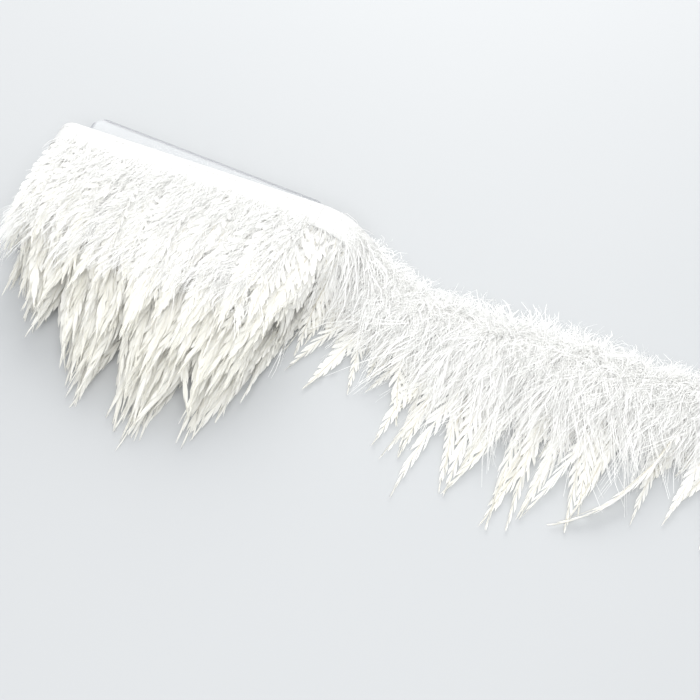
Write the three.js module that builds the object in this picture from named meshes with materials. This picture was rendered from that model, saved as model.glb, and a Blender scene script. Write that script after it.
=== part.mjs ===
// A feather boa: one-sided feather fringe sewn to a ribbon header, wound flat on a clear card,
// with its last stretch let down off the right end of the card onto the table.
// Millimetres, +Z up. X runs along the header, the feathers point to -Y, and the coil lies on z = 0.
import * as THREE from "three";

// ---- driving dimensions ----
const CARD_WIDTH = 128;
const CARD_DEPTH = 86;
const CARD_THICKNESS = 1.5;
const CARD_CORNER = 6;
const CARD_EDGE_Y = 77.8; // the card's bare edge, behind the header
const CARD_X = -2.4; // the coil hugs the card's left end and is slack at its right end
const CARD_MID_Z = 14.15; // half way up the coil

const TAPE_WIDTH = 13;
const TAPE_TOP_Y = 72; // upper edge of the innermost turn of tape
const TURN_SLIP = 0.8; // each turn sits this much lower on the card than the one inside it
const TURN_PITCH = 2.2; // from turn to turn through the thickness of the coil
const END_PITCH = 1.65; // from turn to turn round the ends of the card, where the coil is tight
const FLAT_HALF = 66; // half of the straight stretch of each turn
const START_X = 20; // where the header begins, under the card
const HEADER_SKEW = 0.055; // wound a little askew: the header sits lower toward the card's left end
const HALF_TURNS = 11; // bottom to top or top to bottom, after the first flat
const END_ARC_STEPS = 6;

// The header's own layers, as distances outwards from its middle surface, with their widths.
const LAYERS = {
  tape_inner: { from: -0.6, to: -0.4, width: TAPE_WIDTH, inset: 0, material: "ribbon" },
  quill_row: { from: -0.25, to: 0.25, width: 10.5, inset: 1.2, material: "quill" },
  tape_outer: { from: 0.4, to: 0.6, width: TAPE_WIDTH, inset: 0, material: "ribbon" },
  stitch_upper: { from: 0.75, to: 0.9, width: 0.5, inset: 2.2, material: "thread" },
  stitch_lower: { from: 0.75, to: 0.9, width: 0.5, inset: 10.3, material: "thread" },
};

const TURNS = 6;
const LAYER_GAP = 0.3; // between one turn's feathers and the next
const FEATHER_ROOT_Y = TAPE_TOP_Y - TAPE_WIDTH - 0.6;
const REACH = 129.6; // the longest feathers, from the tape's lower edge to their tips
const ROWS = 9; // stations down the feathers, the same on every turn
const TOP_ROWS = [9, 9, 8, 8, 7, 6]; // the outer turns on top are shorter, so the inner tips show
const FLUFF_RISE = 0.95; // how far the pitch through the coil grows where the down is thickest
const FLUFF_AT = 0.34; // the thickest place, as a share of the coil's depth
const DROOP_START_Y = -24; // beyond the card's lower edge the feathers fall to the table
const TIP_MID_Z = 3.2;
const TIP_Y = -78;

// The free stretch of the header: the middle of the tape, from the coil's top to its far end.
const TAIL_ROUTE = [
  [65.3, 61.1, 28.45],
  [72.5, 61.1, 27.5],
  [80.5, 61.0, 24.0],
  [87.5, 60.4, 18.2],
  [94.5, 58.9, 10.6],
  [102.5, 56.2, 4.9],
  [111.5, 53.2, 1.9],
  [121.5, 51.0, 1.15],
  [134, 50.0, 1.05],
  [150, 50.2, 1.0],
  [168, 51.8, 1.0],
  [188, 53.8, 1.0],
  [208, 55.4, 1.0],
  [228, 56.7, 1.0],
  [246, 58.3, 1.0],
  [262, 60.2, 1.0],
  [278, 62.0, 1.0],
  [292, 63.0, 1.0],
];
const TAIL_STEPS = 30;
const TAIL_CLUMPS = 6;
const TAIL_CLUMP_START = 0.16; // as a share of the free stretch, clear of the coil's side
const TAIL_REACH = 92;
const TAIL_FLUFF = 9; // height of the down beside the tape
const TAIL_TIP_HEIGHT = 2.2;
const FOLD_LENGTH = 7; // the turned and sewn end of the tape
const FOLD_THICKNESS = 1.6;

const MATERIALS = {
  clear_plastic: { color: 0xdfe6ea, roughness: 0.12, metalness: 0, transparent: true, opacity: 0.4 },
  ribbon: { color: 0xf4f4f0, roughness: 0.45, metalness: 0 },
  quill: { color: 0xeeeadc, roughness: 0.5, metalness: 0 },
  thread: { color: 0xfafaf6, roughness: 0.6, metalness: 0 },
  feather: { color: 0xefeee4, roughness: 0.7, metalness: 0 },
};

const boa = new THREE.Group();

function addPiece(name, geometry, material) {
  const mesh = new THREE.Mesh(geometry, new THREE.MeshStandardMaterial(MATERIALS[material]));
  mesh.name = name;
  boa.add(mesh);
  return mesh;
}

const smooth = (t) => THREE.MathUtils.smoothstep(t, 0, 1);
const ramp = (t) => THREE.MathUtils.clamp(t, 0, 1);

// ---- the clear card ----
function cardGeometry() {
  const w = CARD_WIDTH / 2;
  const r = CARD_CORNER;
  const outline = new THREE.Shape();
  outline.moveTo(-w + r, 0);
  outline.lineTo(w - r, 0);
  outline.absarc(w - r, r, r, -Math.PI / 2, 0);
  outline.lineTo(w, CARD_DEPTH - r);
  outline.absarc(w - r, CARD_DEPTH - r, r, 0, Math.PI / 2);
  outline.lineTo(-w + r, CARD_DEPTH);
  outline.absarc(-w + r, CARD_DEPTH - r, r, Math.PI / 2, Math.PI);
  outline.lineTo(-w, r);
  outline.absarc(-w + r, r, r, Math.PI, 1.5 * Math.PI);
  return new THREE.ExtrudeGeometry(outline, {
    depth: CARD_THICKNESS,
    bevelEnabled: false,
    curveSegments: 6,
  });
}

const card = addPiece("winding_card", cardGeometry(), "clear_plastic");
card.position.set(CARD_X, CARD_EDGE_Y - CARD_DEPTH, CARD_MID_Z - CARD_THICKNESS / 2);

// ---- the coil's own measure: a level of 1 is the innermost turn, and it grows by 1 a turn ----
function coilPoint(level, angle) {
  const side = Math.sign(Math.cos(angle));
  return {
    x: side * FLAT_HALF + level * END_PITCH * Math.cos(angle),
    z: level * TURN_PITCH * Math.sin(angle),
    normal: new THREE.Vector2(Math.cos(angle) / END_PITCH, Math.sin(angle) / TURN_PITCH).normalize(),
  };
}

function coilLevel(x, z) {
  return Math.hypot(Math.max(0, Math.abs(x) - FLAT_HALF) / END_PITCH, z / TURN_PITCH);
}

const skewAt = (x) => HEADER_SKEW * (FLAT_HALF - x);

// The header's middle line in the XZ plane: clockwise from under the card, round and round, and
// off the top of the last turn. Flats stay level, and the arcs at the card's ends climb a level.
function headerLine() {
  const points = [{ x: START_X, z: -TURN_PITCH, normal: new THREE.Vector2(0, -1) }];
  for (let half = 0; half < HALF_TURNS; half++) {
    const start = half % 2 === 0 ? -Math.PI / 2 : Math.PI / 2;
    for (let i = 0; i <= END_ARC_STEPS; i++) {
      const share = i / END_ARC_STEPS;
      const swept = THREE.MathUtils.lerp(0.001, Math.PI - 0.001, share);
      points.push(coilPoint(1 + (half + share) / 2, start - swept));
    }
  }
  const top = points.at(-1);
  points.push({ x: FLAT_HALF - 1, z: top.z, normal: new THREE.Vector2(0, 1) });
  return points;
}

function woundLayer(line, layer) {
  const edge = (offset) =>
    line.map((p) => new THREE.Vector2(p.x + p.normal.x * offset, p.z + p.normal.y * offset));
  const outline = new THREE.Shape([...edge(layer.to), ...edge(layer.from).reverse()]);
  const geometry = new THREE.ExtrudeGeometry(outline, { depth: layer.width, bevelEnabled: false });
  geometry.rotateX(Math.PI / 2);
  const at = geometry.attributes.position;
  for (let i = 0; i < at.count; i++) {
    const slip = TURN_SLIP * (coilLevel(at.getX(i), at.getZ(i)) - 1);
    at.setY(i, at.getY(i) + TAPE_TOP_Y - layer.inset - slip - skewAt(at.getX(i)));
    at.setZ(i, at.getZ(i) + CARD_MID_Z);
  }
  geometry.computeVertexNormals();
  return geometry;
}

const line = headerLine();
for (const [name, layer] of Object.entries(LAYERS))
  addPiece("wound_" + name, woundLayer(line, layer), layer.material);

const startFold = addPiece(
  "start_fold",
  new THREE.BoxGeometry(FOLD_LENGTH, TAPE_WIDTH, FOLD_THICKNESS),
  "ribbon",
);
startFold.position.set(
  START_X + FOLD_LENGTH / 2 + LAYER_GAP,
  TAPE_TOP_Y - TAPE_WIDTH / 2 - skewAt(START_X),
  CARD_MID_Z - TURN_PITCH,
);

// ---- the wound feathers: a half shell over the card and one under it for each turn ----
const ARC_PARTS = 3;
const FLAT_PARTS = 4;
const ACROSS = 2 * ARC_PARTS + FLAT_PARTS;

// Across a shell, from its left rim over the flat to its right rim, as a signed share.
function acrossShell(index, halfWidth, height) {
  const fromEnd = Math.min(index, ACROSS - index);
  const side = index * 2 < ACROSS ? -1 : 1;
  if (fromEnd <= ARC_PARTS) {
    const angle = (fromEnd / ARC_PARTS) * (Math.PI / 2);
    const arc = halfWidth - FLAT_HALF;
    return { x: side * (FLAT_HALF + arc * Math.cos(angle)), rise: height * Math.sin(angle) };
  }
  const flat = (index - ARC_PARTS) / FLAT_PARTS;
  return { x: (flat * 2 - 1) * FLAT_HALF, rise: height };
}

// How far the feathers under x reach, as a share of the longest: the coil's rounded lower outline,
// cut away more on the left, because the feathers lean a little to the right.
function tipShare(x) {
  const left = Math.pow(ramp((8 - x) / 76), 1.7);
  const right = Math.pow(ramp((x - 33) / 45), 2);
  return 1 - 0.5 * left - 0.42 * right;
}

const middleZ = (y) =>
  THREE.MathUtils.lerp(CARD_MID_Z, TIP_MID_Z, smooth((DROOP_START_Y - y) / (DROOP_START_Y - TIP_Y)));

function topPitch(y) {
  const depth = ramp((FEATHER_ROOT_Y - y) / (FEATHER_ROOT_Y - TIP_Y));
  const swell = FLUFF_RISE * smooth(depth / FLUFF_AT);
  const fall = THREE.MathUtils.lerp(1, 0.24, smooth((depth - FLUFF_AT) / (1 - FLUFF_AT)));
  return (TURN_PITCH + swell) * fall;
}

// The box's back face is cut into triangles the other way from its front face. Neighbouring shells
// face each other with one of each, so the back face's quads are cut again to match.
function matchDiagonals(geometry) {
  const { start, count } = geometry.groups[5];
  const index = geometry.index;
  for (let i = start; i < start + count; i += 6) {
    index.setX(i + 2, index.getX(i + 4));
    index.setX(i + 3, index.getX(i));
  }
}

function feathersShell(level, rows, above) {
  const geometry = new THREE.BoxGeometry(1, 1, 1, ACROSS, rows, 1);
  matchDiagonals(geometry);
  const at = geometry.attributes.position;
  for (let i = 0; i < at.count; i++) {
    const index = Math.round((at.getX(i) + 0.5) * ACROSS);
    const along = ((0.5 - at.getY(i)) * rows) / ROWS;
    const outer = above ? at.getZ(i) > 0 : at.getZ(i) < 0;
    const edge = outer ? level + 0.5 : level - 0.5;
    const clear = (outer ? -1 : 1) * (LAYER_GAP / 2);
    const halfWidth = FLAT_HALF + edge * END_PITCH + clear;
    const column = acrossShell(index, FLAT_HALF + TURNS * END_PITCH, 1).x;
    const y = FEATHER_ROOT_Y - along * REACH * tipShare(column);
    const pitch = above ? topPitch(y) : (middleZ(y) + LAYER_GAP / 2) / (TURNS + 0.5);
    const { x, rise } = acrossShell(index, halfWidth, edge * pitch + clear);
    const z = Math.max(rise, LAYER_GAP / 2);
    const lowered = y - TURN_SLIP * (level - 1) - skewAt(x);
    at.setXYZ(i, x, lowered, middleZ(y) + (above ? z : -z));
  }
  geometry.computeVertexNormals();
  return geometry;
}

for (let turn = 1; turn <= TURNS; turn++) {
  addPiece("top_feathers_turn_" + turn, feathersShell(turn + 0.5, TOP_ROWS[turn - 1], true), "feather");
  addPiece("back_feathers_turn_" + turn, feathersShell(turn, ROWS, false), "feather");
}

// ---- the free stretch ----
const tailPoints = TAIL_ROUTE.map((p) => new THREE.Vector3(...p));
const tailCurve = new THREE.CatmullRomCurve3(tailPoints, false, "centripetal");
const UP = new THREE.Vector3(0, 0, 1);

// The header lies flat: its width stays level, and its face turns with the slope.
function tailFrame(share) {
  const along = tailCurve.getTangentAt(share);
  const across = new THREE.Vector3().crossVectors(UP, along).normalize();
  const face = new THREE.Vector3().crossVectors(along, across);
  return { at: tailCurve.getPointAt(share), along, across, face };
}

// A straight flat bar, bent onto the free stretch. Its own X runs down across the tape.
function tailLayer(layer) {
  const geometry = new THREE.BoxGeometry(1, 1, 1, 1, TAIL_STEPS, 1);
  matchDiagonals(geometry);
  const at = geometry.attributes.position;
  for (let i = 0; i < at.count; i++) {
    const frame = tailFrame(at.getY(i) + 0.5);
    const across = TAPE_WIDTH / 2 - layer.inset - (at.getX(i) + 0.5) * layer.width;
    const face = THREE.MathUtils.lerp(layer.from, layer.to, at.getZ(i) + 0.5);
    const point = frame.at.addScaledVector(frame.across, across).addScaledVector(frame.face, face);
    at.setXYZ(i, point.x, point.y, point.z);
  }
  geometry.computeVertexNormals();
  return geometry;
}

for (const [name, layer] of Object.entries(LAYERS))
  addPiece("tail_" + name, tailLayer(layer), layer.material);

const tailEnd = tailFrame(1);
const tailFold = addPiece(
  "tail_end_fold",
  new THREE.BoxGeometry(FOLD_LENGTH, TAPE_WIDTH, FOLD_THICKNESS),
  "ribbon",
);
tailFold.position.copy(tailEnd.at).addScaledVector(tailEnd.along, FOLD_LENGTH / 2 + LAYER_GAP);
tailFold.rotation.z = Math.atan2(tailEnd.along.y, tailEnd.along.x);

// A clump of the free stretch's feathers: thick down beside the tape, thin tips on the table.
function tailClump(from, to) {
  const geometry = new THREE.BoxGeometry(1, 1, 1, 4, 4, 1);
  const at = geometry.attributes.position;
  for (let i = 0; i < at.count; i++) {
    const frame = tailFrame(THREE.MathUtils.lerp(from, to, at.getX(i) + 0.5));
    const out = 0.5 - at.getY(i);
    const upper = at.getZ(i) > 0;
    const y = frame.at.y - TAPE_WIDTH / 2 - 2 * LAYER_GAP - out * TAIL_REACH;
    const ground = Math.max(0, (frame.at.z - 2) * (1 - smooth(out * 2)));
    const height = THREE.MathUtils.lerp(TAIL_FLUFF, TAIL_TIP_HEIGHT, smooth(out * 1.4));
    at.setXYZ(i, frame.at.x, y, ground + (upper ? height : 0));
  }
  geometry.computeVertexNormals();
  return geometry;
}

const clumpShare = (1 - TAIL_CLUMP_START) / TAIL_CLUMPS;
const clumpGap = LAYER_GAP / tailCurve.getLength();
for (let clump = 0; clump < TAIL_CLUMPS; clump++) {
  const from = TAIL_CLUMP_START + clump * clumpShare;
  addPiece("tail_feathers_" + (clump + 1), tailClump(from, from + clumpShare - clumpGap), "feather");
}

export default boa;
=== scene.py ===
# %% [markdown]
# # A feather boa wound on a clear card
# The boa is a fringe: long feathers hang from one side of a sewn ribbon header. The header is wound
# six times round a clear plastic card, and its last stretch is let down onto the table.
# The frame gives every place: the card, the turns of ribbon, and one thin solid for each turn's layer
# of feathers. This script hangs real feathers on that frame. Lengths are in metres.

import math
import bmesh
import bpy
import numpy as np
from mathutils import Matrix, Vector


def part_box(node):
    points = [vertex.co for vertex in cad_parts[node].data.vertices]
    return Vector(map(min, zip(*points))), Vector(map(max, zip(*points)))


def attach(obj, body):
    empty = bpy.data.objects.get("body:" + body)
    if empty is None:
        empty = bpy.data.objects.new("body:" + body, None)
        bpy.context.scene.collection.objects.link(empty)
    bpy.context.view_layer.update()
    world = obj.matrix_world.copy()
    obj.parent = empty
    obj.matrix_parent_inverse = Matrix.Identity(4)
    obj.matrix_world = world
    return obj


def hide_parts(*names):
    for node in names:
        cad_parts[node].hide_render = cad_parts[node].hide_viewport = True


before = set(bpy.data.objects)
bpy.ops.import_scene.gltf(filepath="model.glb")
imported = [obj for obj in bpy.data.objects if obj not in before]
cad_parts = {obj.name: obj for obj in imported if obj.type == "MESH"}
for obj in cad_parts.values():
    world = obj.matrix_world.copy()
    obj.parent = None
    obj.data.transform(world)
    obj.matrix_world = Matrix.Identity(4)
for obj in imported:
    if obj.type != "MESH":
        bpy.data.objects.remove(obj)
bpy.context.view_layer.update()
MM = 0.001
TURNS = 6
rng = np.random.default_rng(20)

# %% [markdown]
# ## Camera
# A wound boa is looked at from above and in front, with its free end running out of view. The camera
# could be aimed by a constraint, but a direction and a distance from one point are easier to read. A
# long lens keeps the card's bare edge nearly parallel to the header.

# %% Camera
AZIMUTH, ELEVATION, DISTANCE = math.radians(24.97), math.radians(60), 0.7315
back = Vector((math.sin(AZIMUTH) * math.cos(ELEVATION),
               -math.cos(AZIMUTH) * math.cos(ELEVATION),
               math.sin(ELEVATION)))
camera = bpy.data.objects.new("camera", bpy.data.cameras.new("camera"))
bpy.context.scene.collection.objects.link(camera)
camera.location = Vector((0.1022, 0.0159, 0)) + back * DISTANCE
camera.rotation_mode = "QUATERNION"
camera.rotation_quaternion = (-back).to_track_quat("-Z", "Y")
camera.data.lens = 80
camera.data.clip_start = 0.01
bpy.context.scene.camera = camera
print("camera at", [round(c, 3) for c in camera.location])

# %% [markdown]
# ## Light
# White on white is shown by its shadows alone, so they have to be soft. A sun lamp would cut them hard.
# A wide soft box behind the card and a second one in front are used instead, in a bright even surround.


# %% Light
def soft_box(name, place, target, size, power, colour):
    light = bpy.data.lights.new(name, "AREA")
    light.shape, light.size, light.energy, light.color = "DISK", size, power, colour
    lamp = bpy.data.objects.new(name, light)
    bpy.context.scene.collection.objects.link(lamp)
    lamp.location = place
    lamp.rotation_mode = "QUATERNION"
    lamp.rotation_quaternion = (Vector(target) - Vector(place)).to_track_quat("-Z", "Y")


soft_box("key", (-0.12, 0.70, 0.50), (0.03, 0.12, 0), 0.8, 5.9, (1, 0.985, 0.96))
soft_box("fill", (0.3, -0.45, 1.1), (0.1, 0.0, 0), 0.9, 9.3, (1, 0.995, 0.98))
world = bpy.data.worlds.new("surround")
bpy.context.scene.world = world
world.use_nodes = True
world.node_tree.nodes["Background"].inputs["Color"].default_value = (0.955, 0.975, 1, 1)
world.node_tree.nodes["Background"].inputs["Strength"].default_value = 0.73
bpy.context.scene.view_settings.view_transform = "Standard"

# %% [markdown]
# ## Surface maths as sums and products
# A finish is maths on a surface, and it is easier to read as sums and products than as a web of nodes.
# `Wire` holds one output of a node, and `+`, `-` and `*` on it add the Math nodes.


# %% Wires
class Wire:
    def __init__(self, finish, socket):
        self.finish, self.socket = finish, socket

    def maths(self, operation, first, second):
        values = {0: first, 1: second}
        return self.finish.node("ShaderNodeMath", {"operation": operation}, values)

    def __add__(self, other):
        return self.maths("ADD", self, other)

    def __sub__(self, other):
        return self.maths("SUBTRACT", self, other)

    def __rsub__(self, other):
        return self.maths("SUBTRACT", other, self)

    def __mul__(self, other):
        return self.maths("MULTIPLY", self, other)

    __radd__, __rmul__ = __add__, __mul__

    def sine(self):
        return self.maths("SINE", self, 0)

    def size(self):
        return self.maths("ABSOLUTE", self, 0)

    def smaller(self, other):
        return self.maths("MINIMUM", self, other)


print("wires can", [name for name in vars(Wire) if not name.startswith("_")])

# %% [markdown]
# ## One finish, one material
# Each finish of the boa is one node material. `Finish` starts it empty and adds any node from its type,
# its settings and the values of its sockets, so that no node has to be named or placed by hand.


# %% Finishes
class Finish:
    def __init__(self, name):
        self.material = bpy.data.materials.new(name)
        self.material.use_nodes = True
        self.tree = self.material.node_tree
        self.tree.nodes.clear()
        self.output = self.tree.nodes.new("ShaderNodeOutputMaterial")

    def node(self, kind, settings=None, values=None, out=0):
        node = self.tree.nodes.new(kind)
        for key, value in (settings or {}).items():
            if key == "stops":
                self.set_stops(node.color_ramp, value)
            else:
                setattr(node, key, value)
        for key, value in (values or {}).items():
            if isinstance(value, Wire):
                self.tree.links.new(value.socket, node.inputs[key])
            else:
                node.inputs[key].default_value = value
        return Wire(self, node.outputs[out])

    @staticmethod
    def set_stops(ramp, stops):
        while len(ramp.elements) < len(stops):
            ramp.elements.new(0.5)
        for element, (position, colour) in zip(ramp.elements, stops):
            element.position, element.color = position, (*colour, 1)

    def split(self, vector):
        x = self.node("ShaderNodeSeparateXYZ", None, {0: vector})
        return x, Wire(self, x.socket.node.outputs[1])

    def uv(self, name):
        return self.split(self.node("ShaderNodeUVMap", {"uv_map": name}))

    def blend_colours(self, how, share, first, second):
        settings = {"data_type": "RGBA", "blend_type": how}
        return self.node("ShaderNodeMix", settings, {0: share, 6: first, 7: second}, out=2)

    def object_place(self):
        return self.node("ShaderNodeTexCoord", out=3)

    def noise(self, scale, detail=2.0):
        values = {"Vector": self.object_place(), "Scale": scale, "Detail": detail}
        return self.node("ShaderNodeTexNoise", None, values)

    def ramp(self, factor, *stops):
        return self.node("ShaderNodeValToRGB", {"stops": stops}, {0: factor})

    def bump(self, height, strength, distance):
        values = {"Height": height, "Strength": strength, "Distance": distance}
        return self.node("ShaderNodeBump", None, values)

    def surface(self, shader):
        self.tree.links.new(shader.socket, self.output.inputs["Surface"])
        return self.material


print("finishes can", [name for name in vars(Finish) if not name.startswith("_")])

# %% [markdown]
# ## The table
# The boa lies on a pale smooth table with no edge in view. One large grid face is enough, because its
# look comes from a faint change of tone. Every piece is made in millimetres, and `finished` turns it
# into an object in metres.


# %% Table
TABLE_HALF = 3000


def finished(name, bm, material):
    """A piece made in millimetres, as an object in metres."""
    bmesh.ops.scale(bm, vec=(MM, MM, MM), verts=bm.verts)
    mesh = bpy.data.meshes.new(name)
    bm.to_mesh(mesh)
    bm.free()
    piece = bpy.data.objects.new(name, mesh)
    bpy.context.scene.collection.objects.link(piece)
    mesh.materials.append(material)
    return piece


def table_finish():
    f = Finish("table")
    tone = f.ramp(f.noise(3), (0.3, (0.488, 0.503, 0.516)), (0.7, (0.506, 0.518, 0.530)))
    values = {"Base Color": tone, "Roughness": 0.7}
    return f.surface(f.node("ShaderNodeBsdfPrincipled", None, values))


table_top = bmesh.new()
bmesh.ops.create_grid(table_top, x_segments=1, y_segments=1, size=TABLE_HALF)
table = finished("table", table_top, table_finish())
print("table", 2 * TABLE_HALF * MM, "m square")

# %% [markdown]
# ## The coil's own measure
# Everything wound lies on turns of one spiral, so one measure serves ribbons and feathers alike. A
# place on the coil is a level, which is 1 on the innermost turn and grows by 1 a turn, a distance
# `around` from the middle of the top, and how far down the feathers it is. The same few sizes as the
# frame's source turn that into X, Y and Z. All of these sizes are in millimetres.

# %% Sizes of the coil
TAPE_WIDTH, TAPE_TOP_Y, TURN_SLIP = 13, 72, 0.8
TURN_PITCH, END_PITCH, FLAT_HALF = 2.2, 1.65, 66
MIDDLE_Z, TIP_MIDDLE_Z, TIP_Y, DROOP_START_Y = 14.15, 3.2, -78, -24
ROOT_Y, REACH, HEADER_SKEW = TAPE_TOP_Y - TAPE_WIDTH - 0.6, 129.6, 0.055
DOWN_RISE, DOWN_AT = 0.95, 0.34
TIP_CLOSENESS = 0.24
ARC = (TURN_PITCH + END_PITCH) / 2
LOWEST = 0.25


def ease(t):
    t = np.clip(t, 0, 1)
    return t * t * (3 - 2 * t)


def between(a, b, t):
    return a + (b - a) * t


def unit(v):
    return v / np.maximum(np.linalg.norm(v, axis=-1, keepdims=True), 1e-9)


print("a half turn round the card's end is", round(ARC * np.pi, 1), "mm longer on each turn")

# %% [markdown]
# ## Places on the coil
# The layers are thickest where the down is and close up toward the tips, which droop to the table. The
# ends of the card are half circles. Rounding every layer by hand would leave gaps between them, so all
# of them ask the one measure for a place, and for the way out of the coil there.


# %% Places on the coil
def middle_z(y):
    return between(MIDDLE_Z, TIP_MIDDLE_Z, ease((DROOP_START_Y - y) / (DROOP_START_Y - TIP_Y)))


def top_pitch(y):
    depth = (ROOT_Y - y) / (ROOT_Y - TIP_Y)
    swell = TURN_PITCH + DOWN_RISE * ease(depth / DOWN_AT)
    return swell * between(1, TIP_CLOSENESS, ease((depth - DOWN_AT) / (1 - DOWN_AT)))


def back_pitch(y):
    return np.minimum(middle_z(y) / (TURNS + 0.5), TURN_PITCH)


def lowered(level, x):
    """How much lower than the innermost turn's right end the header sits at X."""
    return TURN_SLIP * (level - 1) + HEADER_SKEW * (FLAT_HALF - x)


def on_coil(level, around, y, back):
    """The place, and the way out of the coil there."""
    turned = np.minimum(np.maximum(np.abs(around) - FLAT_HALF, 0) / (ARC * level), np.pi)
    rise = np.cos(turned) * (-1 if back else 1)
    pitch = np.where(rise > 0, top_pitch(y), back_pitch(y))
    sideways = np.sign(around) * np.sin(turned)
    x = np.clip(around, -FLAT_HALF, FLAT_HALF) + level * END_PITCH * sideways
    place = np.stack([x, y - lowered(level, x), middle_z(y) + level * pitch * rise], -1)
    return place, np.stack([sideways, np.zeros_like(x), rise], -1)


highest = on_coil(TURNS, 0, ROOT_Y, False)[0]
print("the outermost turn lies", round(highest[2], 1), "mm above the table")

# %% [markdown]
# ## The header's line
# The header is two satin ribbons with the feathers' quills sewn between them. A curve object could hold
# its line, but not the way its face turns. It is held as its upper edge, the way down across the ribbon
# and the way out of its face, so that ribbons, quills and stitches can all be placed by length along it.


# %% Header lines
class Header:
    def __init__(self, top, down, out):
        self.top, self.down, self.out = top, down, out
        middle = top + down * TAPE_WIDTH / 2
        steps = np.linalg.norm(np.diff(middle, axis=0), axis=1)
        self.run = np.concatenate([[0], np.cumsum(steps)])
        self.length = self.run[-1]

    def sample(self, values, s):
        return np.stack([np.interp(s, self.run, values[:, i]) for i in range(3)], -1)

    def frame(self, s):
        down, out = unit(self.sample(self.down, s)), unit(self.sample(self.out, s))
        return self.sample(self.top, s), down, out

    def place(self, s, below, off):
        top, down, out = self.frame(s)
        return top + down * np.asarray(below)[..., None] + out * np.asarray(off)[..., None]


print("a header can", [name for name in vars(Header) if not name.startswith("_")])

# %% [markdown]
# ## The wound line
# Seen from its end the wound header is a clockwise spiral of flats and half turns, from its start under
# the card to the top of the coil. It is finer round the ends, where a coarse line would show corners.

# %% Wound line
START_X, FREE_FROM_X, HALF_TURNS, ARC_STEPS, FLAT_STEP = 20, 65.4, 11, 14, 5.5
SHY = 0.001


def wound_header():
    level, across, angle = [1.0], [START_X], [-np.pi / 2]
    for half in range(HALF_TURNS):
        start = -np.pi / 2 if half % 2 == 0 else np.pi / 2
        for share in np.linspace(0, 1, ARC_STEPS):
            level.append(1 + (half + share) / 2)
            across.append(FLAT_HALF * (-1 if half % 2 == 0 else 1))
            angle.append(start - between(SHY, np.pi - SHY, share))
    level, across = np.array(level + level[-1:]), np.array(across + [FREE_FROM_X])
    angle = np.array(angle + [np.pi / 2])
    x = across + level * END_PITCH * np.cos(angle)
    z = MIDDLE_Z + level * TURN_PITCH * np.sin(angle)
    top = np.stack([x, TAPE_TOP_Y - lowered(level, x), z], -1)
    out = unit(np.stack([np.cos(angle) / END_PITCH, 0 * x, np.sin(angle) / TURN_PITCH], -1))
    coarse = Header(top, np.tile([0.0, -1, 0], (len(x), 1)), out)
    fine = np.unique(np.concatenate([coarse.run, np.arange(0, coarse.length, FLAT_STEP)]))
    return Header(*coarse.frame(fine))


wound = wound_header()
print(f"header: {wound.length:.0f} mm wound")

# %% [markdown]
# ## The free line
# The free stretch follows a given route off the coil and down to the table, as the frame's does. A
# centripetal Catmull-Rom curve passes through every point without overshooting where they are close.

# %% Free line
TAIL_ROUTE = [
    (65.3, 61.1, 28.45), (72.5, 61.1, 27.5), (80.5, 61.0, 24.0), (87.5, 60.4, 18.2),
    (94.5, 58.9, 10.6), (102.5, 56.2, 4.9), (111.5, 53.2, 1.9), (121.5, 51.0, 1.15),
    (134, 50.0, 1.05), (150, 50.2, 1.0), (168, 51.8, 1.0), (188, 53.8, 1.0),
    (208, 55.4, 1.0), (228, 56.7, 1.0), (246, 58.3, 1.0), (262, 60.2, 1.0),
    (278, 62.0, 1.0), (292, 63.0, 1.0),
]


def smooth_route(points, steps=9):
    """A centripetal Catmull-Rom curve through the points."""
    p = np.array(points, float)
    p = np.vstack([2 * p[0] - p[1], p, 2 * p[-1] - p[-2]])
    gap = np.sqrt(np.linalg.norm(np.diff(p, axis=0), axis=1))[:, None]
    slope = np.diff(p, axis=0) / gap
    across = (p[2:] - p[:-2]) / (gap[:-1] + gap[1:])
    tangent = slope[:-1] - across + slope[1:]
    curve = []
    for a, b, ta, tb, g in zip(p[1:-2], p[2:-1], tangent[:-1], tangent[1:], gap[1:-1]):
        t = np.linspace(0, 1, steps, endpoint=False)[:, None]
        curve.append((2 * t**3 - 3 * t**2 + 1) * a + (t**3 - 2 * t**2 + t) * g * ta
                     + (3 * t**2 - 2 * t**3) * b + (t**3 - t**2) * g * tb)
    return np.vstack([*curve, p[-2:-1]])


def free_header():
    middle = smooth_route(TAIL_ROUTE)
    along = unit(np.gradient(middle, axis=0))
    up_across = unit(np.cross([0, 0, 1], along))
    out = unit(np.cross(along, up_across))
    return Header(middle + up_across * TAPE_WIDTH / 2, -up_across, out)


free = free_header()
print(f"header: {free.length:.0f} mm free")

# %% [markdown]
# ## Satin
# The header's ribbons are white polyester satin, with fine ribs across, yarns along, and a firmer
# selvedge at both edges. An image of cloth would repeat and blur, so waves on the ribbon's own UV map
# draw the weave. The map is in millimetres, which keeps the weave's real size round every bend.

# %% Satin finish
RIB_WAVES, YARN_WAVES = 9, 14
SELVEDGE_FROM, SELVEDGE_TO = 5.7, 6.1


def satin_finish():
    f = Finish("satin")
    along, across = f.uv("weave")
    ribs = (along * RIB_WAVES).sine() * 0.5 + 0.5
    yarn = (across * YARN_WAVES).sine() * 0.5 + 0.5
    edge = (across - TAPE_WIDTH / 2).size()
    selvedge = f.node("ShaderNodeMapRange", None, {
        "Value": edge, "From Min": SELVEDGE_FROM, "From Max": SELVEDGE_TO})
    weave = ribs * 0.6 + yarn * 0.4 + selvedge * 0.5
    pale = f.ramp(weave + f.noise(60) * 0.5, (0.1, (0.66, 0.66, 0.645)), (1.0, (0.74, 0.74, 0.73)))
    rough = f.node("ShaderNodeMapRange", None, {"Value": weave, "To Min": 0.42, "To Max": 0.58})
    return f.surface(f.node("ShaderNodeBsdfPrincipled", None, {
        "Base Color": pale, "Roughness": rough, "Sheen Weight": 0.15,
        "Normal": f.bump(weave, 0.25, 0.0001)}))


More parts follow.
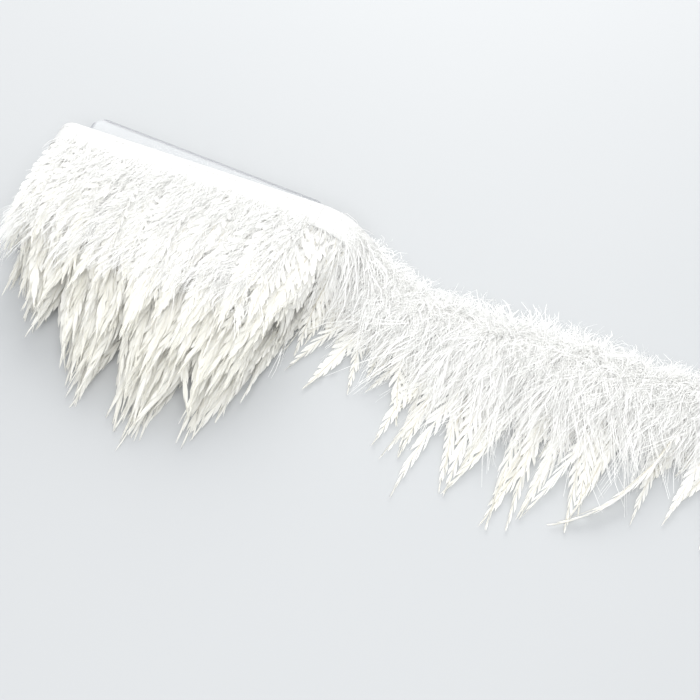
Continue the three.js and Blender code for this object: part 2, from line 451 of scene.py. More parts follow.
satin = satin_finish()
print("satin", len(satin.node_tree.nodes), "nodes")

# %% [markdown]
# ## Reading and writing a mesh's numbers
# Large meshes are slow to touch vertex by vertex. Blender can hand over all of a mesh's places as one
# array, and take them back the same way, and the next helpers do that for places and UV maps.


# %% Helpers for whole meshes
def paint_uv(piece, name, values):
    """One UV per vertex, written to the corners that use it."""
    layer = piece.data.uv_layers.new(name=name)
    corner = np.empty(len(piece.data.loops), np.int32)
    piece.data.loops.foreach_get("vertex_index", corner)
    layer.data.foreach_set("uv", np.asarray(values, np.float32)[corner].ravel())


def places(piece):
    xyz = np.empty(len(piece.data.vertices) * 3, np.float32)
    piece.data.vertices.foreach_get("co", xyz)
    return xyz.reshape(-1, 3).astype(float) / MM


def put_places(piece, xyz):
    piece.data.vertices.foreach_set("co", np.asarray(xyz * MM, np.float32).ravel())
    piece.data.update()


def shade_smooth(piece):
    piece.data.polygons.foreach_set("use_smooth", np.ones(len(piece.data.polygons), bool))


def ride(piece, slot, *nodes, body="boa"):
    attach(piece, body)
    if nodes:
        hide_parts(*nodes)
    return piece


print("helpers ready: paint_uv, places, put_places, shade_smooth, ride")

# %% [markdown]
# ## Ribbons
# A ribbon could be a curve with a flat profile, but a curve twists where the header turns over. It is
# one flat grid instead, with as many stations as the header has, bent onto the header's line. A thin
# Solidify gives it two faces, and a slight flutter keeps it from looking like sheet metal.

# %% Ribbons
RIBBON_THICKNESS, RIBBON_OFF, RIPPLE_LENGTH = 0.2, 0.5, 7.3


def ribbon(name, header, off, flutter=0.12):
    bm = bmesh.new()
    bmesh.ops.create_grid(bm, x_segments=len(header.run) - 1, y_segments=5, size=1)
    piece = finished(name, bm, satin)
    grid = places(piece)
    order = np.round((grid[:, 0] + 1) / 2 * (len(header.run) - 1)).astype(int)
    s, below = header.run[order], (1 - grid[:, 1]) / 2 * TAPE_WIDTH
    ripple = flutter * np.sin(s / RIPPLE_LENGTH) * np.sin(below / TAPE_WIDTH * np.pi)
    put_places(piece, header.place(s, below, off + ripple))
    paint_uv(piece, "weave", np.stack([s, below], -1))
    shade_smooth(piece)
    wall = piece.modifiers.new("cloth", "SOLIDIFY")
    wall.thickness, wall.offset = RIBBON_THICKNESS * MM, 0
    return piece


for kind, header in (("wound", wound), ("tail", free)):
    for side, off in (("inner", -RIBBON_OFF), ("outer", RIBBON_OFF)):
        piece = ribbon(f"{kind}_ribbon_{side}", header, off)
        ride(piece, "satin_ribbon", f"{kind}_tape_{side}")

# %% [markdown]
# ## Planting one small shape many times
# Quills, stitches, feathers and tufts of down are all the same job: one small master, made once with
# mesh operators, and set down many times along a bent spine. Particle hair could do it, but the copies
# have to be real mesh in the end. A master is made in its own terms: u runs along it from 0 to 1, v
# across and h out of its face, both in half widths. Each copy's spine has six control points, and the
# weights of a fifth-degree Bezier curve carry all of them at once.

# %% Masters and spines
DEGREE, SLOPE_STEP = 5, 0.002
STEPS = np.arange(DEGREE + 1) / DEGREE
BINOMIAL = np.array([math.comb(DEGREE, i) for i in range(DEGREE + 1)], float)


def weights(u):
    i = np.arange(DEGREE + 1)
    u = np.clip(u, 0, 1.04)[:, None]
    return BINOMIAL * u**i * (1 - u) ** (DEGREE - i)


def slopes(u):
    return (weights(u + SLOPE_STEP) - weights(u - SLOPE_STEP)) / (2 * SLOPE_STEP)


class Master:
    """A mesh to be planted: uvh are its places along, across and out, pattern its UV map."""
    def __init__(self, name, bm, uvh, pattern):
        self.mesh = bpy.data.meshes.new(name + "_master")
        bm.to_mesh(self.mesh)
        bm.free()
        self.uvh, self.pattern = np.array(uvh), np.array(pattern)


def bent(master, spine, out, width, roll):
    """Every vertex of every copy: shape (copies, vertices, 3)."""
    u, v, h = master.uvh.T
    middle = np.einsum("vi,kij->kvj", weights(u), spine)
    along = unit(np.einsum("vi,kij->kvj", slopes(np.clip(u, 0.003, 0.997)), spine))
    face = np.einsum("vi,kij->kvj", weights(u), out)
    side = unit(np.cross(face, along))
    face = np.cross(along, side)
    c, s = np.cos(roll)[:, None, None], np.sin(roll)[:, None, None]
    side, face = side * c + face * s, face * c - side * s
    width = width[:, None, None]
    return middle + width * (v[:, None] * side + h[:, None] * face)


print("one spine has", DEGREE + 1, "control points")

# %% [markdown]
# ## One piece from many copies
# Copies are dealt out to the masters in turn. Each gets one of sixteen tones, and its own strip of a
# second UV map, so that a whole layer of feathers shares one small map of colour without overlaps.

# %% Planting
TONES = 16


def plant(name, masters, spine, out, width, roll, material, tone=None):
    """One piece of many copies, dealt out in turn to the masters."""
    bm = bmesh.new()
    xyz, pattern, tones = [], [], []
    tone = rng.random(len(spine)) if tone is None else np.clip(tone, 0, 0.999)
    for i, master in enumerate(masters):
        mine = slice(i, None, len(masters))
        here = bent(master, spine[mine], out[mine], width[mine], roll[mine])
        for _ in range(len(here)):
            bm.from_mesh(master.mesh)
        xyz.append(here.reshape(-1, 3))
        pattern.append(np.tile(master.pattern, (len(here), 1)))
        tones.append(np.repeat(np.floor(tone[mine] * TONES), len(master.uvh)))
    xyz, pattern, tones = np.vstack(xyz), np.vstack(pattern), np.concatenate(tones)
    xyz[:, 2] = np.maximum(xyz[:, 2], LOWEST + 0.3 * np.abs(np.sin(xyz[:, 0] * 1.7)))
    piece = finished(name, bm, material)
    put_places(piece, xyz)
    paint_uv(piece, "pattern", pattern)
    strip = (tones + 0.04 + 0.92 * pattern[:, 0]) / TONES
    paint_uv(piece, "OFBake", np.stack([strip, 0.01 + 0.98 * pattern[:, 1]], -1))
    attribute = piece.data.attributes.new("tone", "FLOAT", "POINT")
    attribute.data.foreach_set("value", (tones / (TONES - 1)).astype(np.float32))
    shade_smooth(piece)
    return piece


print("each piece is baked in", TONES, "strips")

# %% [markdown]
# ## Tapered tubes
# A shaft, a quill end and a stitch are all thin round things. A cone with cut sides makes each of them,
# and its corners are then moved to the radius and the lift that this one needs.


# %% Tubes
def tube_master(name, sides, cuts, radius, tip, lift=lambda u: 0 * u):
    """A tapered tube along u, with rings of `sides` corners."""
    bm = bmesh.new()
    bmesh.ops.create_cone(bm, cap_ends=True, segments=sides, radius1=1, radius2=1, depth=2)
    rungs = [e for e in bm.edges if abs(e.verts[0].co.z - e.verts[1].co.z) > 1]
    bmesh.ops.subdivide_edges(bm, edges=rungs, cuts=cuts, use_grid_fill=True)
    at = np.array([v.co for v in bm.verts])
    u = (at[:, 2] + 1) / 2
    wide = between(radius, tip, u)
    turn = np.arctan2(at[:, 1], at[:, 0]) + 0.2
    uvh = np.stack([u, wide * np.cos(turn), wide * np.sin(turn) + lift(u)], -1)
    return Master(name, bm, uvh, np.stack([0.5 + 0.45 * np.cos(turn), u], -1))


def straight(start, end):
    t = np.linspace(0, 1, DEGREE + 1)[:, None]
    return start[:, None] + (end - start)[:, None] * t


print("tube and spine helpers ready")

# %% [markdown]
# ## Horn and thread
# A quill is horn: pale, a little glossy, with cloudy patches, so noise feeds its colour. The thread is
# spun, and a slanted wave along it gives the twist that a plain tube would lack.


# %% Horn and thread finishes
def horn_finish():
    f = Finish("quill_horn")
    tone = f.ramp(f.noise(400, 3), (0.3, (0.80, 0.77, 0.66)), (0.7, (0.90, 0.88, 0.80)))
    return f.surface(f.node("ShaderNodeBsdfPrincipled", None, {
        "Base Color": tone, "Roughness": 0.32, "Coat Weight": 0.2,
        "Normal": f.bump(f.noise(900), 0.2, 0.0001)}))


def thread_finish():
    f = Finish("thread")
    across, along = f.uv("pattern")
    twist = (along * 26 + across * 7).sine() * 0.5 + 0.5
    tone = f.ramp(twist, (0, (0.78, 0.78, 0.75)), (1, (0.93, 0.93, 0.91)))
    return f.surface(f.node("ShaderNodeBsdfPrincipled", None, {
        "Base Color": tone, "Roughness": 0.6, "Sheen Weight": 0.3,
        "Normal": f.bump(twist, 0.4, 0.0001)}))


horn, thread = horn_finish(), thread_finish()
print("finishes", horn.name, thread.name)

# %% [markdown]
# ## Quill ends and stitches
# Between the ribbons lies the row of bare quill ends, one about every 2.4 mm, and two lines of
# machine stitches hold the sandwich. Each quill is a tapered five-sided tube. Each stitch is a short
# thread that dips into the ribbon at both ends. A line drawn by bump would look flat at the rim, so
# both are real tubes.

# %% Quills and stitches
QUILL_PITCH, QUILL_INSET, QUILL_LENGTH = 2.4, 1.4, 12.5
STITCH_PITCH, STITCH_GAP, STITCH_OFF, STITCH_RADIUS = 3.0, 0.2, 0.66, 0.17
STITCH_INSETS = {"upper": 2.45, "lower": 10.55}
quill = tube_master("quill", 5, 1, 1, 0.7)
stitch = tube_master("stitch", 4, 2, 1, 1, lift=lambda u: 2.2 * np.sin(np.pi * u) - 1.2)


def quill_row(kind, header):
    s = np.arange(1.2, header.length - 1, QUILL_PITCH)
    s = s + rng.uniform(-0.4, 0.4, len(s))
    start = header.place(s, QUILL_INSET + rng.uniform(-0.5, 0.8, len(s)), 0 * s)
    end = header.place(s + rng.uniform(-0.6, 0.6, len(s)), 0 * s + QUILL_LENGTH, 0 * s)
    out = np.repeat(header.frame(s)[2][:, None], DEGREE + 1, 1)
    piece = plant(f"{kind}_quills", [quill], straight(start, end), out,
                  rng.uniform(0.28, 0.36, len(s)), 0 * s, horn)
    return ride(piece, "quill_ends", f"{kind}_quill_row")


def stitch_row(kind, header, row):
    s = np.arange(0.4, header.length - STITCH_PITCH, STITCH_PITCH)
    below = STITCH_INSETS[row] + rng.normal(0, 0.05, len(s))
    start = header.place(s + STITCH_GAP, below, 0 * s + STITCH_OFF)
    end = header.place(s + STITCH_PITCH - STITCH_GAP, below, 0 * s + STITCH_OFF)
    out = np.repeat(header.frame(s)[2][:, None], DEGREE + 1, 1)
    piece = plant(f"{kind}_stitches_{row}", [stitch], straight(start, end), out,
                  0 * s + STITCH_RADIUS, 0 * s, thread)
    return ride(piece, "sewing_thread", f"{kind}_stitch_{row}")


sewn = {kind: [quill_row(kind, header), *(stitch_row(kind, header, row) for row in STITCH_INSETS)]
        for kind, header in (("wound", wound), ("tail", free))}
print("sewn:", [f"{p.name} {len(p.data.polygons)}" for row in sewn.values() for p in row])

# %% [markdown]
# ## Folded ribbon ends
# Each end of the header is turned back on itself and sewn, so that nothing frays. Bending the ribbon's
# own last faces would upset its UV map, so each fold is a short ribbon of its own: a hairpin line with
# the ribbon's width, made by the same function.

# %% Folds
FOLD_LENGTH, FOLD_GAP, FOLD_BEND = 7, 0.3, 0.55


def fold(name, start, along, out, down):
    """A hairpin of ribbon that leaves `start` and comes back to it."""
    turn = np.linspace(-np.pi / 2, np.pi / 2, 9)
    reach = FOLD_LENGTH - 0.7
    ahead = np.concatenate([np.linspace(0, reach, 5)[:-1], reach + FOLD_BEND * np.cos(turn),
                            np.linspace(reach, 0.6, 5)[1:]])
    rise = np.concatenate([[-FOLD_BEND] * 4, FOLD_BEND * np.sin(turn), [FOLD_BEND] * 4])
    middle = start + np.outer(ahead, along) + np.outer(rise, out)
    tangent = unit(np.gradient(middle, axis=0))
    down = np.tile(np.asarray(down), (len(ahead), 1))
    header = Header(middle - down * TAPE_WIDTH / 2, down, unit(np.cross(tangent, -down)))
    return ride(ribbon(name + "_ribbon", header, 0.0, flutter=0), "satin_ribbon", name)


start_y = TAPE_TOP_Y - TAPE_WIDTH / 2 - lowered(1, START_X)
start_at = np.array([START_X + FOLD_GAP, start_y, MIDDLE_Z - TURN_PITCH])
start_fold = fold("start_fold", start_at, (1, 0, 0), (0, 0, 1), (0, -1, 0))
end_top, end_down, end_out = free.frame(free.length)
end_along = np.cross(end_out, end_down)
end_at = end_top + end_down * TAPE_WIDTH / 2 + end_along * FOLD_GAP
end_fold = fold("tail_end_fold", end_at, end_along, end_out, end_down)
print("folds:", start_fold.name, end_fold.name)

# %% [markdown]
# ## Clear plastic
# Clear sheet is seen by its rim and by its scuffs. Glass with true refraction would be noisy and slow
# under feathers, so the finish is mostly transparent by its alpha, and denser at the rim. The rim's grey
# colour is painted shade, standing in for the dark edge that refraction shows where the eye looks along
# the sheet. Scuffs roughen it a little.


# %% Clear plastic finish
def clear_finish(low, high):
    f = Finish("clear_plastic")
    x, y = f.split(f.object_place())
    half_x, half_y = (high.x - low.x) / 2, (high.y - low.y) / 2
    in_x = half_x - (x - (low.x + half_x)).size()
    in_y = half_y - (y - (low.y + half_y)).size()
    rim = f.node("ShaderNodeMapRange", None, {
        "Value": in_x.smaller(in_y), "From Min": 0.0010, "From Max": 0.0002})
    # Painted shade: the rim is coloured dark grey for the dark edge that refraction gives along the
    # sheet.
    painted_rim_shade = f.ramp(rim, (0, (0.78, 0.80, 0.83)), (1, (0.32, 0.33, 0.36)))
    scuffs = f.noise(180, 4)
    return f.surface(f.node("ShaderNodeBsdfPrincipled", None, {
        "Base Color": painted_rim_shade, "Roughness": scuffs * 0.1 + 0.06, "IOR": 1.46,
        "Alpha": rim * 0.5 + scuffs * 0.08 + 0.14,
        "Normal": f.bump(scuffs, 0.1, 0.0001)}))


card_low, card_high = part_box("winding_card")
clear = clear_finish(card_low, card_high)
print("card", [round(side / MM, 1) for side in card_high - card_low], "mm")

# %% [markdown]
# ## The clear card
# The card is a flat plate with rounded corners, and only its bare edge shows behind the header. It
# could be cut from an outline, but a cube scaled to the frame's box needs only two bevels: one rounds
# the corners in plan, and one breaks the rims so that they catch the light.

# %% Card
CARD_CORNER, CARD_EDGE = 6, 0.3


def card_plate(low, high):
    middle, size = (low + high) / 2, high - low
    bm = bmesh.new()
    bmesh.ops.create_cube(bm, size=1)
    bmesh.ops.scale(bm, vec=size / MM, verts=bm.verts)
    upright = [e for e in bm.edges if abs(e.verts[0].co.z - e.verts[1].co.z) > 1]
    bmesh.ops.bevel(bm, geom=upright, offset=CARD_CORNER, offset_type="OFFSET", affect="EDGES",
                    segments=8, profile=0.5, material=-1)
    rims = [e for e in bm.edges if abs(e.verts[0].co.z - e.verts[1].co.z) < 0.01 and
            any(abs(f.normal.z) < 0.5 for f in e.link_faces)]
    bmesh.ops.bevel(bm, geom=rims, offset=CARD_EDGE, offset_type="OFFSET", affect="EDGES",
                    segments=2, profile=0.5, material=-1)
    bmesh.ops.translate(bm, vec=middle / MM, verts=bm.verts)
    return finished("clear_card", bm, clear)


card = ride(card_plate(card_low, card_high), "clear_card", "winding_card", body="card")
print("card", len(card.data.polygons), "faces")

# %% [markdown]
# ## Strips from a grid
# Barbs and strands of down are both bundles of thin strips. Making each strip alone would be slow, so
# one grid is made and the edges between its strips are split, which frees every strip in one step.


# %% Strips
def split_grid(columns, rows, axis):
    """A grid whose inner edges square to the axis are split, with each vertex's strip middle."""
    bm = bmesh.new()
    bmesh.ops.create_grid(bm, x_segments=columns, y_segments=rows, size=1)
    cuts = [e for e in bm.edges if len(e.link_faces) == 2
            and abs(e.verts[0].co[axis] - e.verts[1].co[axis]) < 1e-4]
    bmesh.ops.split_edges(bm, edges=cuts)
    at = np.array([v.co for v in bm.verts])
    middles = [np.mean([f.calc_center_median()[axis] for f in v.link_faces]) for v in bm.verts]
    return bm, at, np.array(middles)


print("strip helper ready")

# %% [markdown]
# ## One feather
# A feather is a thin shaft with barbs on both sides that hook together into small groups. A flat card
# with a cut-out image would look thin from the side, so the barbs are shape. In a split grid each group
# of barbs is a strip. It narrows toward its tip, slants forward and lifts a little on its own. That
# leaves a ragged soft edge from a few dozen faces, and the masters differ enough to hide the repeat.

# %% Feather masters
GROUPS, WEB_STEPS, BARB_SLANT, BARB_CUP = 13, 4, 0.125, 0.10
SHAFT_WIDE, SHAFT_TIP, SHAFT_LIFT = 0.06, 0.012, 0.02
WEB_OUTLINE = [(0, 0.3), (0.08, 0.7), (0.2, 0.95), (0.35, 1), (0.55, 0.88), (0.72, 0.62),
               (0.86, 0.34), (0.95, 0.14), (1.02, 0.03)]


def web_width(u):
    return np.interp(u, *zip(*WEB_OUTLINE))


def feather_master(name, seed, full=1.0):
    dice = np.random.default_rng(seed)
    bm, at, group = split_grid(GROUPS, WEB_STEPS, 0)
    u, v, centre = (at[:, 0] + 1) / 2, at[:, 1], (group + 1) / 2
    number = np.round(centre * GROUPS - 0.5).astype(int)
    side = (v > 0).astype(int)
    out = np.abs(v)
    longer = dice.uniform(0.8, 1.1, (GROUPS, 2))[number, side]
    lift = dice.normal(0, 0.07, (GROUPS, 2))[number, side]
    slant = BARB_SLANT + dice.normal(0, 0.015, (GROUPS, 2))[number, side]
    narrow = (1 - 0.5 * out**2) * between(1, full, np.minimum(out * 2, 1))
    forward = centre + (u - centre) * narrow + slant * out**0.9 * (0.3 + 0.7 * web_width(centre))
    wide = web_width(forward) * between(1, longer, out)
    cup = BARB_CUP * out**2 + lift * out**2
    uvh = np.stack([np.clip(forward, 0, 1.03), v * wide, cup], -1)
    web = Master(name, bm, uvh, np.stack([0.5 + v / 2, u], -1))
    shaft = tube_master(name + "_shaft", 3, 2, SHAFT_WIDE, SHAFT_TIP, lift=lambda w: SHAFT_LIFT + 0 * w)
    shaft.pattern[:, 0] = 0.5 + (shaft.pattern[:, 0] - 0.5) * 0.03
    return joined(web, shaft)


def joined(first, second):
    bm = bmesh.new()
    bm.from_mesh(first.mesh)
    bm.from_mesh(second.mesh)
    uvh, pattern = (np.vstack(pair) for pair in zip((first.uvh, first.pattern),
                                                    (second.uvh, second.pattern)))
    both = Master("joined", bm, uvh, pattern)
    bpy.data.meshes.remove(first.mesh)
    bpy.data.meshes.remove(second.mesh)
    return both


feathers = [feather_master(f"feather_{i}", 40 + i) for i in range(6)]
wisps = [feather_master(f"wisp_{i}", 60 + i, full=0.76) for i in range(5)]
print("a feather has", len(feathers[0].mesh.polygons), "faces")

# %% [markdown]
# ## One tuft of down
# At its base a feather's barbs don't hook together. They stand off as down, which gives a boa its
# bulk. Thousands of single hairs would be too heavy, so a tuft is a dozen fine strands of three steps
# each, split from one small grid and fanned out round a short spine, each with a curl of its own.

# %% Down masters
STRANDS, STRAND_STEPS, STRAND_WIDTH = 12, 3, 0.022


def down_master(name, seed, spread=1.0):
    dice = np.random.default_rng(seed)
    bm, at, middle = split_grid(STRAND_STEPS, STRANDS, 1)
    number = np.round((middle + 1) / 2 * STRANDS - 0.5).astype(int)
    t, edge = (at[:, 0] + 1) / 2, (at[:, 1] - middle) * STRANDS
    start = dice.uniform(0, 0.45, STRANDS)[number]
    reach = dice.uniform(0.4, 0.62, STRANDS)[number]
    aim = dice.uniform(-np.pi, np.pi, STRANDS)[number]
    fan = dice.uniform(0.35, 1.0, STRANDS)[number] * spread
    curl = dice.normal(0, 0.25, STRANDS)[number]
    wave = curl * np.sin(t * 2.6)
    thin = STRAND_WIDTH * (1 - 0.75 * t) * edge
    v = fan * np.cos(aim) * t**0.8 + wave * np.sin(aim) + thin * np.abs(np.sin(aim) + 0.3)
    h = fan * np.abs(np.sin(aim)) * t**0.9 * 0.8 + wave * np.cos(aim) * 0.4 + thin * np.cos(aim)
    uvh = np.stack([start + reach * t * between(1, 0.75, fan * t), v, h], -1)
    return Master(name, bm, uvh, np.stack([0.5 + edge / 2.2, t], -1))


downs = [down_master(f"down_{i}", 80 + i) for i in range(6)]
combed = [down_master(f"combed_{i}", 90 + i, spread=0.5) for i in range(6)]
print("a tuft of down has", len(downs[0].mesh.polygons), "faces")

# %% [markdown]
# ## Feather finish
# Undyed white feathers are warm: the web is ivory toward its tip and cleaner white near the root, with
# fine slanted barb lines and a horn-coloured shaft. Light also comes through them. Subsurface scattering
# needs closed solids, so a Translucent shader is mixed in instead, with a share small enough that most
# of the white stays in the base colour. The barb lines and the partings between groups are darker in the
# colour: painted shade in the gaps between barbs and between groups. Every feather has its own tone.

# %% Feather finish
BARB_TURN, BARB_WAVES, GLOW_SHARE = 2 * math.pi * GROUPS, 520, 0.25


def web_finish():
    f = Finish("feather_web")
    across, along = f.uv("pattern")
    tone = f.node("ShaderNodeAttribute", {"attribute_name": "tone"}, out=2)
    off_shaft = (across - 0.5).size()
    barbs = (along * BARB_WAVES).sine() * 0.5 + 0.5
    tufts = (along * BARB_TURN - 1.57).sine() * 0.5 + 0.5
    warmth = along * 0.8 + tone * 0.3 - off_shaft * 0.2
    web = f.ramp(warmth, (0.12, (0.985, 0.985, 0.975)), (0.5, (0.98, 0.975, 0.945)),
                 (1.0, (0.97, 0.96, 0.90)))
    # Painted shade: the colour is darkened along the barb lines and where two groups part, where shade
    # falls in the gaps.
    painted_gap_shade = f.ramp(barbs * 0.4 + tufts * 0.6, (0, (0.95, 0.945, 0.925)), (0.5, (1, 1, 1)))
    web = f.blend_colours("MULTIPLY", 1.0, web, painted_gap_shade)
    shaft = f.node("ShaderNodeMapRange", None, {
        "Value": off_shaft, "From Min": 0.022, "From Max": 0.012})
    colour = f.blend_colours("MIX", shaft, web, (0.84, 0.80, 0.68, 1))
    skin = f.node("ShaderNodeBsdfPrincipled", None, {
        "Base Color": colour, "Roughness": 0.62 - shaft * 0.25, "Sheen Weight": 0.25,
        "Sheen Roughness": 0.4, "Normal": f.bump(barbs * 0.4 + tufts, 0.35, 0.0003)})
    glow = f.node("ShaderNodeBsdfTranslucent", None, {"Color": (0.985, 0.98, 0.955, 1)})
    return f.surface(f.node("ShaderNodeMixShader", None, {0: GLOW_SHARE, 1: skin, 2: glow}))


web_material = web_finish()
print("web finish", len(web_material.node_tree.nodes), "nodes")

# %% [markdown]
# ## Down finish
# Down has no hooks and no gloss: it is plain white and scatters light in all directions. It shares the
# web's way of letting light through, with a rougher skin and a soft sheen along its edges.


# %% Down finish
def down_finish():
    f = Finish("down")
    along = f.uv("pattern")[1]
    tone = f.node("ShaderNodeAttribute", {"attribute_name": "tone"}, out=2)
    hooks = (along * 160).sine() * 0.5 + 0.5
    colour = f.ramp(tone * 0.5 + hooks * 0.3 + along * 0.2,
                    (0, (0.97, 0.97, 0.96)), (1, (0.985, 0.985, 0.975)))
    skin = f.node("ShaderNodeBsdfPrincipled", None, {
        "Base Color": colour, "Roughness": hooks * 0.1 + 0.7, "Sheen Weight": 0.3})
    glow = f.node("ShaderNodeBsdfTranslucent", None, {"Color": (0.985, 0.985, 0.975, 1)})
    return f.surface(f.node("ShaderNodeMixShader", None, {0: GLOW_SHARE, 1: skin, 2: glow}))


down_material = down_finish()
print("down finish", len(down_material.node_tree.nodes), "nodes")

# %% [markdown]
# ## How feathers hang on the coil
# A feather's spine follows its layer: it leaves the ribbon straight, leans the way the whole bundle was
# combed, and its tip is drawn to the nearest lock, because tips cling together. About three locks cling
# again into one hank, with a notch between hanks. A simulation could find this, but slowly and
# differently each time, so rounding to the nearest lock and hank stands in for it.

# %% Locks and hanks
LEAN = [(-78, 24), (-45, 22), (-10, 16), (25, 10), (60, -2), (78, -8)]
TOP_REACH = [1, 1, 0.89, 0.89, 0.78, 0.68]
TOP_PITCHES = [3.2, 3.2, 3.2, 3.0, 2.5, 1.8]
BACK_PITCHES = [3.6, 3.6, 3.6, 3.6, 3.2, 2.4]
TIGHT_X, TIGHT_SLOPE, TIGHT_HOLD = 68, 0.12, 0.35
TIP_SPREAD, SWAY = 5, 4
LOCK_PITCH, LOCK_SHIFT, LOCK_CLING = 12, 0.13, 0.62
HANK_PITCH, HANK_MIDDLE, HANK_CLING, HANK_LEFT = 34.5, 27, 0.42, -56
HEADER_ENDS = {("top", TURNS): FREE_FROM_X - 2, ("back", 1): START_X}
LEFT_FROM, LEFT_SPAN, LEFT_FALL = 8, 76, 0.36
RIGHT_FROM, RIGHT_SPAN, RIGHT_FALL = 33, 45, 0.38


def tip_share(x):
    """How far the tips reach at X, as a share of the longest: less toward both ends of the card."""
    left = np.clip((LEFT_FROM - x) / LEFT_SPAN, 0, 1) ** 1.7
    right = np.clip((x - RIGHT_FROM) / RIGHT_SPAN, 0, 1) ** 2
    return 1 - LEFT_FALL * left - RIGHT_FALL * right


def spread_roots(side, turn, pitch):
    """Places round one layer, as far as that turn of the header goes."""
    half = FLAT_HALF + ARC * (turn + 0.5) * np.pi / 2
    around = np.arange(-half, HEADER_ENDS.get((side, turn), half), pitch)
    return around + rng.uniform(-0.4, 0.4, len(around)) * pitch


def held_in(place):
    """The coil is drawn tight round the card's left end, so nothing there stands far out."""
    x, y = place[..., 0], place[..., 1]
    side = -TIGHT_X + TIGHT_SLOPE * np.clip(ROOT_Y - y, 0, 80)
    place[..., 0] = np.where(x < side, side + (x - side) * TIGHT_HOLD, x)
    return place


print("locks every", LOCK_PITCH, "mm and hanks every", HANK_PITCH, "mm")

# %% [markdown]
# ## Spines of the coil
# For each feather of a layer, its tip is moved to its lock and then toward its hank, and the tips of a
# hank's middle reach furthest, which gives the ragged lower edge its points.


# %% Spines of the coil
def hanging_spines(level, around, reach, back, loose):
    """Spines for one layer: around its turn at the root, drawn into locks at the tip."""
    n = len(around)
    tip = around + np.interp(around, *zip(*LEAN)) * reach / REACH + rng.normal(0, TIP_SPREAD, n)
    lock = np.round(tip / LOCK_PITCH + LOCK_SHIFT * level)
    lock_at = (lock - LOCK_SHIFT * level + 0.3 * np.sin(lock * 5.1 + level * 2.3)) * LOCK_PITCH
    tip = between(tip, lock_at, LOCK_CLING)
    hank = np.round((tip - HANK_MIDDLE) / HANK_PITCH) * HANK_PITCH + HANK_MIDDLE
    hank = np.maximum(hank, HANK_LEFT)
    long = np.clip((reach / (REACH * tip_share(around)) - 0.8) * 6, 0, 1)
    reach = reach * (1.02 - 0.1 * long * np.abs(tip - hank) / HANK_PITCH * 2)
    tip = between(tip, hank, HANK_CLING * long)
    reach = reach * (0.93 + 0.07 * np.sin(lock * 3.7 + level * 1.9)) * rng.uniform(0.82, 1.0, n)
    sway = rng.normal(0, SWAY, n)
    t = STEPS[None]
    path = around[:, None] + (tip - around)[:, None] * t**1.35 + sway[:, None] * np.sin(np.pi * t)
    y = ROOT_Y + 2 - t * (reach + 2)[:, None]
    rise = rng.uniform(-0.3, 0.3, n)[:, None] * np.sin(np.pi * t) + loose[:, None] * t**1.5
    levels = np.maximum(level + rise, 0.6)
    place, out = on_coil(levels, path, y, back)
    return held_in(place), out


print("each layer's spines start at Y", round(ROOT_Y + 2, 1), "mm")

# %% [markdown]
# ## Feathers on the coil
# Each turn of the header hangs one layer of feathers over the card and one under it. The outer turns on
# top reach less far, so that the inner turns' pointed locks show below them, and the outermost layer is
# puffed up, because nothing presses on it. One piece for each layer keeps it on its own frame solid.

# %% Wound feathers
WOUND_WIDTHS, PUFF, COMBED_REACH = (4.5, 7.0), 3.0, 78


def wound_feathers(side, turn):
    """The feathers that one turn of the header hangs over the card, or under it."""
    back = side == "back"
    level = turn if back else turn + 0.5
    around = spread_roots(side, turn, (BACK_PITCHES if back else TOP_PITCHES)[turn - 1])
    share = tip_share(np.clip(around, -COMBED_REACH, COMBED_REACH))
    reach = REACH * share * (1 if back else TOP_REACH[turn - 1])
    loose = rng.normal(0, 0.25, len(around))
    if turn == TURNS and not back:
        loose = loose + rng.uniform(0, 0.9, len(around))
    spine, out = hanging_spines(level, around, reach, back, loose)
    if turn == TURNS:
        puff = rng.uniform(0, PUFF, len(around))[:, None, None] * np.sin(np.pi * STEPS)[None, :, None]
        spine = spine + out * puff * (0.2 if back else 1)
    width = rng.uniform(*WOUND_WIDTHS, len(around)) * np.where(around < -FLAT_HALF, 0.7, 1)
    piece = plant(f"{side}_feathers_{turn}", feathers + wisps[:2], spine, out, width,
                  rng.normal(0, 0.3, len(around)), web_material)
    return ride(piece, "feather", f"{side}_feathers_turn_{turn}")


layers = [wound_feathers(side, turn) for side in ("top", "back") for turn in range(1, TURNS + 1)]
print("wound feathers:", sum(len(p.data.polygons) for p in layers), "faces in", len(layers), "layers")

# %% [markdown]
# ## Down on the coil
# Down fills each layer near the header. The outer layers get the most, since only theirs is seen, and
# some of it stands up over the ribbon's lower edge, so that the header sinks into it. It could be part
# of every feather, but loose tufts spread more evenly for the same number of faces.

# %% Wound down
DOWN_PAST_RIBBON, DOWN_DEPTH, DOWN_DRIFT = 9, 46, 7
DOWN_LENGTHS, DOWN_WIDTHS, DOWN_HEIGHTS = (20, 34), (5, 9), (0.2, 1.6)


